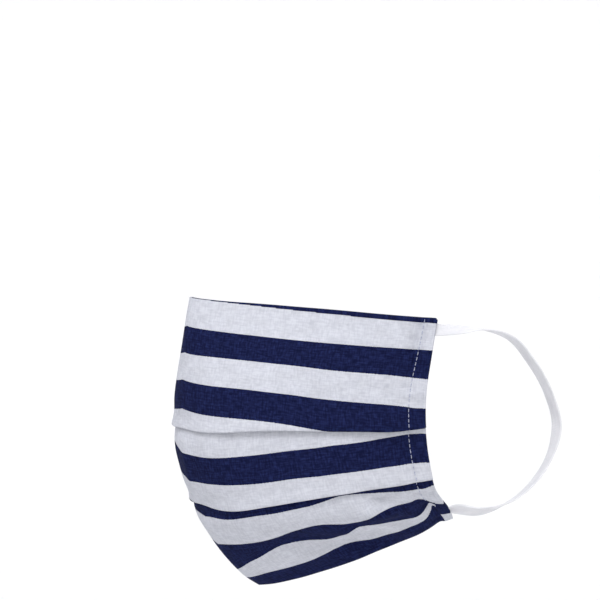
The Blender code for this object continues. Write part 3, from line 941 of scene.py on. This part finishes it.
def backdrop_paper():
    """Seamless studio paper: matt and almost white."""
    paper = (*bpy.context.scene.mask_studio.paper, 1.0)
    material, tree, shader = new_material("seamless backdrop paper", 0.95)
    grain = add_node(tree, "TexNoise", {"Scale": 30.0, "Detail": 2.0})
    colours = {"Factor": grain, 6: paper, 7: (*linear("#FDFDFD"), 1.0)}
    colour = add_node(tree, "Mix", colours, 2, data_type="RGBA")
    tree.links.new(colour, shader.inputs["Base Color"])
    return material


def material_of(name, make):
    return bpy.data.materials.get(name) or make()


def seam_stitches(name, side, face, material):
    """The running stitches down one hem, on the panel's front (face 1) or the strip's back (face -1)."""
    stitch = bpy.context.scene.mask_stitch
    sides = np.linspace(0, 2 * math.pi, STITCH_SIDES, endpoint=False)
    last = SEAM_SHOWN if face > 0 else bottom_share(1.0)
    starts = (np.arange(int(last * HEM_DROP / stitch.pitch)) + STITCH_STARTS[face]) * stitch.pitch
    share = np.linspace(0, 1, STITCH_POINTS)
    arch = np.sin(share * math.pi)
    height = (STITCH_RISE * arch**0.6 - STITCH_SINK) * stitch.width
    radius = (STITCH_END + (1 - STITCH_END) * arch**0.5) * stitch.width / 2
    places = (starts[:, None] + share * stitch.shown) / HEM_DROP
    shape = places.shape
    down = np.clip(places, STITCH_MARGIN, 1 - STITCH_MARGIN).ravel()
    inset = of_table(SEAM, "down", "inset", down) * MM
    if face > 0:
        surface, normal = seam_surface(down, inset, side)
        depth = CLOTH_WALL / 2
    else:
        across = side * (1 - inset / (FLAT_WIDTH / 2))
        normal = outward(down, across)
        surface = form(down, across) + (fine_relief(down, across) - hem_depth(down))[:, None] * normal
        depth = HEM_WALL / 2
    surface, normal = surface.reshape(shape + (3,)), normal.reshape(shape + (3,))
    centre = surface + face * (depth + height)[:, None] * normal
    ahead = unit(np.gradient(centre, axis=1))
    beside = unit(np.cross(ahead, normal))
    above = np.cross(beside, ahead)
    walked = share[:, None] * stitch.shown + 0 * sides
    field = np.stack([sides * stitch.width / 2 + 0 * walked, walked, 0 * walked], -1).reshape(-1, 3)
    verts, faces, fields = [], [], []
    for k in range(shape[0]):
        lean = np.cos(sides)[:, None] * beside[k][:, None] + np.sin(sides)[:, None] * above[k][:, None]
        verts.append((centre[k][:, None] + radius[:, None, None] * lean).reshape(-1, 3))
        fields.append(field)
        index = (k * walked.size + np.arange(walked.size)).reshape(walked.shape)
        here, after = index, np.roll(index, -1, axis=1)
        faces += np.stack([here[:-1], here[1:], after[1:], after[:-1]], -1).reshape(-1, 4).tolist()
        faces += [index[0].tolist(), index[-1][::-1].tolist()]
    return cloth_piece(name, verts, faces, fields, material)


class MASK_OT_panel(bpy.types.Operator):
    """Build the pleated panel of striped cotton"""

    bl_idname = "mask.panel"
    bl_label = "Pleated Panel"

    def execute(self, context):
        points, cloth = panel_grid()
        cotton = material_of("yarn-dyed cotton poplin", yarn_dyed_cotton)
        piece = closed_cloth("striped_panel", points, cloth, CLOTH_WALL, cotton)
        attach(piece, BODY)
        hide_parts("pleated_panel")
        return {"FINISHED"}


class MASK_OT_hems(bpy.types.Operator):
    """Build the turned-back strip behind each side edge"""

    bl_idname = "mask.hems"
    bl_label = "Side Hems"

    def execute(self, context):
        cotton = material_of("yarn-dyed cotton poplin", yarn_dyed_cotton)
        for side, word in SIDES:
            points, cloth, wall = hem_grid(side)
            piece = closed_cloth(f"turned_hem_{word}", points, cloth, wall, cotton)
            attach(piece, BODY)
            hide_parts(f"side_hem_{word}")
        return {"FINISHED"}


class MASK_OT_stitches(bpy.types.Operator):
    """Sew the running stitches that hold the side hems"""

    bl_idname = "mask.stitches"
    bl_label = "Hem Stitches"

    def execute(self, context):
        thread = material_of("spun polyester thread", spun_thread)
        for side, word in SIDES:
            for face, place in ((1, "front"), (-1, "inside")):
                piece = seam_stitches(f"stitches_{place}_{word}", side, face, thread)
                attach(piece, BODY)
        return {"FINISHED"}


class MASK_OT_ear_loops(bpy.types.Operator):
    """Build the flat elastic ear loops"""

    bl_idname = "mask.ear_loops"
    bl_label = "Ear Loops"

    def execute(self, context):
        ribs = context.scene.mask_elastic.ribs
        elastic = material_of("braided white elastic", braided_elastic)
        for side, word in SIDES:
            points, cloth = loop_grid(side)
            share = cloth[..., 0] / ELASTIC_WIDTH
            rib = np.abs(np.sin(math.pi * ribs * (share + 0.5)))
            wall = ELASTIC_WALL * (1 - RIB_HEIGHT + RIB_HEIGHT * rib)
            wall = wall * (1 - ELASTIC_EDGE_THINNING * (2 * np.abs(share)) ** 4)
            piece = closed_cloth(f"elastic_loop_{word}", points, cloth, wall, elastic)
            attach(piece, BODY)
            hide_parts(f"ear_loop_{word}")
        return {"FINISHED"}


class MASK_OT_studio(bpy.types.Operator):
    """Set up the floor, the lamps and the camera"""

    bl_idname = "mask.studio"
    bl_label = "Studio"

    def execute(self, context):
        studio = context.scene.mask_studio
        build_backdrop(studio)
        aim_camera(studio)
        hang_lamps(studio)
        return {"FINISHED"}


def build_backdrop(studio):
    """A round floor that sweeps up to a wall all round, turned from one profile."""
    flat = [(0.0, 0.0), (BACKDROP_RADIUS - BACKDROP_SWEEP, 0.0)]
    sweep = [
        (BACKDROP_RADIUS - BACKDROP_SWEEP * (1 - math.sin(a)), BACKDROP_SWEEP * (1 - math.cos(a)))
        for a in np.linspace(0, math.pi / 2, BACKDROP_STEPS + 1)[1:]
    ]
    profile = [*flat, *sweep, (BACKDROP_RADIUS, BACKDROP_SWEEP + BACKDROP_WALL)]
    mesh = bpy.data.meshes.new("floor")
    verts = [(radius, 0.0, height - studio.floor) for radius, height in profile]
    mesh.from_pydata(verts, [(i, i + 1) for i in range(len(verts) - 1)], [])
    mesh.materials.append(backdrop_paper())
    floor = bpy.data.objects.new("floor", mesh)
    bpy.context.scene.collection.objects.link(floor)
    turn = floor.modifiers.new("turn", "SCREW")
    turn.steps = BACKDROP_SIDES
    turn.render_steps = BACKDROP_SIDES
    turn.use_merge_vertices = True
    turn.merge_threshold = 0.0001
    turn.use_smooth_shade = True


def camera_axes(studio):
    """Right, up and towards the camera, for a level camera at the photograph's azimuth."""
    a = studio.azimuth
    return (
        Vector((math.cos(a), math.sin(a), 0)),
        Vector((0, 0, 1)),
        Vector((math.sin(a), -math.cos(a), 0)),
    )


def aim_camera(studio):
    """Puts the camera where the photograph was taken from, and turns it the same way."""
    right, up, toward = camera_axes(studio)
    pixel = math.tan(studio.field / 2) / (PICTURE / 2)
    aside, fall = ((place - PICTURE / 2) * pixel for place in LEVEL_POINT)
    ahead = -toward - aside * right + fall * up
    data = bpy.data.cameras.new("camera")
    data.sensor_width = 36.0
    data.lens = data.sensor_width / 2 / math.tan(studio.field / 2)
    data.clip_start = 0.01
    camera = bpy.data.objects.new("camera", data)
    bpy.context.scene.collection.objects.link(camera)
    camera.location = VIEWED_POINT + up * studio.height + toward * studio.distance
    camera.rotation_euler = ahead.to_track_quat("-Z", "Y").to_euler()
    bpy.context.scene.camera = camera


def add_lamp(name, lamp, power, axes):
    """A round soft lamp that shines on the lit point."""
    right, up, toward = axes
    offset = lamp.toward * toward + lamp.right * right + lamp.up * up
    data = bpy.data.lights.new(name, "AREA")
    data.shape = "DISK"
    data.size = lamp.size
    data.energy = power
    piece = bpy.data.objects.new(name, data)
    bpy.context.scene.collection.objects.link(piece)
    piece.location = LIT_POINT + offset
    piece.rotation_euler = (-offset).to_track_quat("-Z", "Y").to_euler()


def hang_lamps(studio):
    """A large lamp above the camera, a weak one beside it, and a white sky."""
    axes = camera_axes(studio)
    add_lamp("key lamp", KEY_LAMP, studio.key, axes)
    add_lamp("fill lamp", FILL_LAMP, studio.fill, axes)
    world = bpy.data.worlds.new("studio")
    world.use_nodes = True
    background = world.node_tree.nodes["Background"]
    background.inputs["Color"].default_value = (*linear("#FAFAFC"), 1.0)
    background.inputs["Strength"].default_value = studio.sky
    bpy.context.scene.world = world
    bpy.context.scene.view_settings.view_transform = "Standard"


def declare_cloth():
    """Lists the pieces that are sewn to the panel; nothing is done with the list."""
    pieces = [f"turned_hem_{word}" for _, word in SIDES]
    pieces += [f"stitches_{place}_{word}" for place in ("front", "inside") for _, word in SIDES]


class MASK_PT_panel(bpy.types.Panel):
    """The face mask's pieces and their settings"""

    bl_label = "Face Mask"
    bl_idname = "MASK_PT_panel"
    bl_space_type = "VIEW_3D"
    bl_region_type = "UI"
    bl_category = "Face Mask"

    def draw(self, context):
        for settings, operators in GROUPS:
            box = self.layout.box()
            group = getattr(context.scene, settings)
            for name in group.__annotations__:
                box.prop(group, name)
            for operator in operators:
                box.operator(operator.bl_idname)


GROUPS = (
    ("mask_cloth", (MASK_OT_panel, MASK_OT_hems)),
    ("mask_stitch", (MASK_OT_stitches,)),
    ("mask_elastic", (MASK_OT_ear_loops,)),
    ("mask_studio", (MASK_OT_studio,)),
)
SETTINGS = {
    "mask_cloth": ClothSettings,
    "mask_stitch": StitchSettings,
    "mask_elastic": ElasticSettings,
    "mask_studio": StudioSettings,
}
OPERATORS = [operator for _, operators in GROUPS for operator in operators]


def register():
    for kind in [*SETTINGS.values(), *OPERATORS, MASK_PT_panel]:
        bpy.utils.register_class(kind)
    for name, kind in SETTINGS.items():
        setattr(bpy.types.Scene, name, PointerProperty(type=kind))


def unregister():
    for name in SETTINGS:
        delattr(bpy.types.Scene, name)
    for kind in [MASK_PT_panel, *reversed(OPERATORS), *reversed(SETTINGS.values())]:
        bpy.utils.unregister_class(kind)


def main():
    register()
    bpy.ops.mask.studio()
    bpy.ops.mask.panel()
    bpy.ops.mask.hems()
    bpy.ops.mask.stitches()
    bpy.ops.mask.ear_loops()
    declare_cloth()


if __name__ == "__main__":
    main()
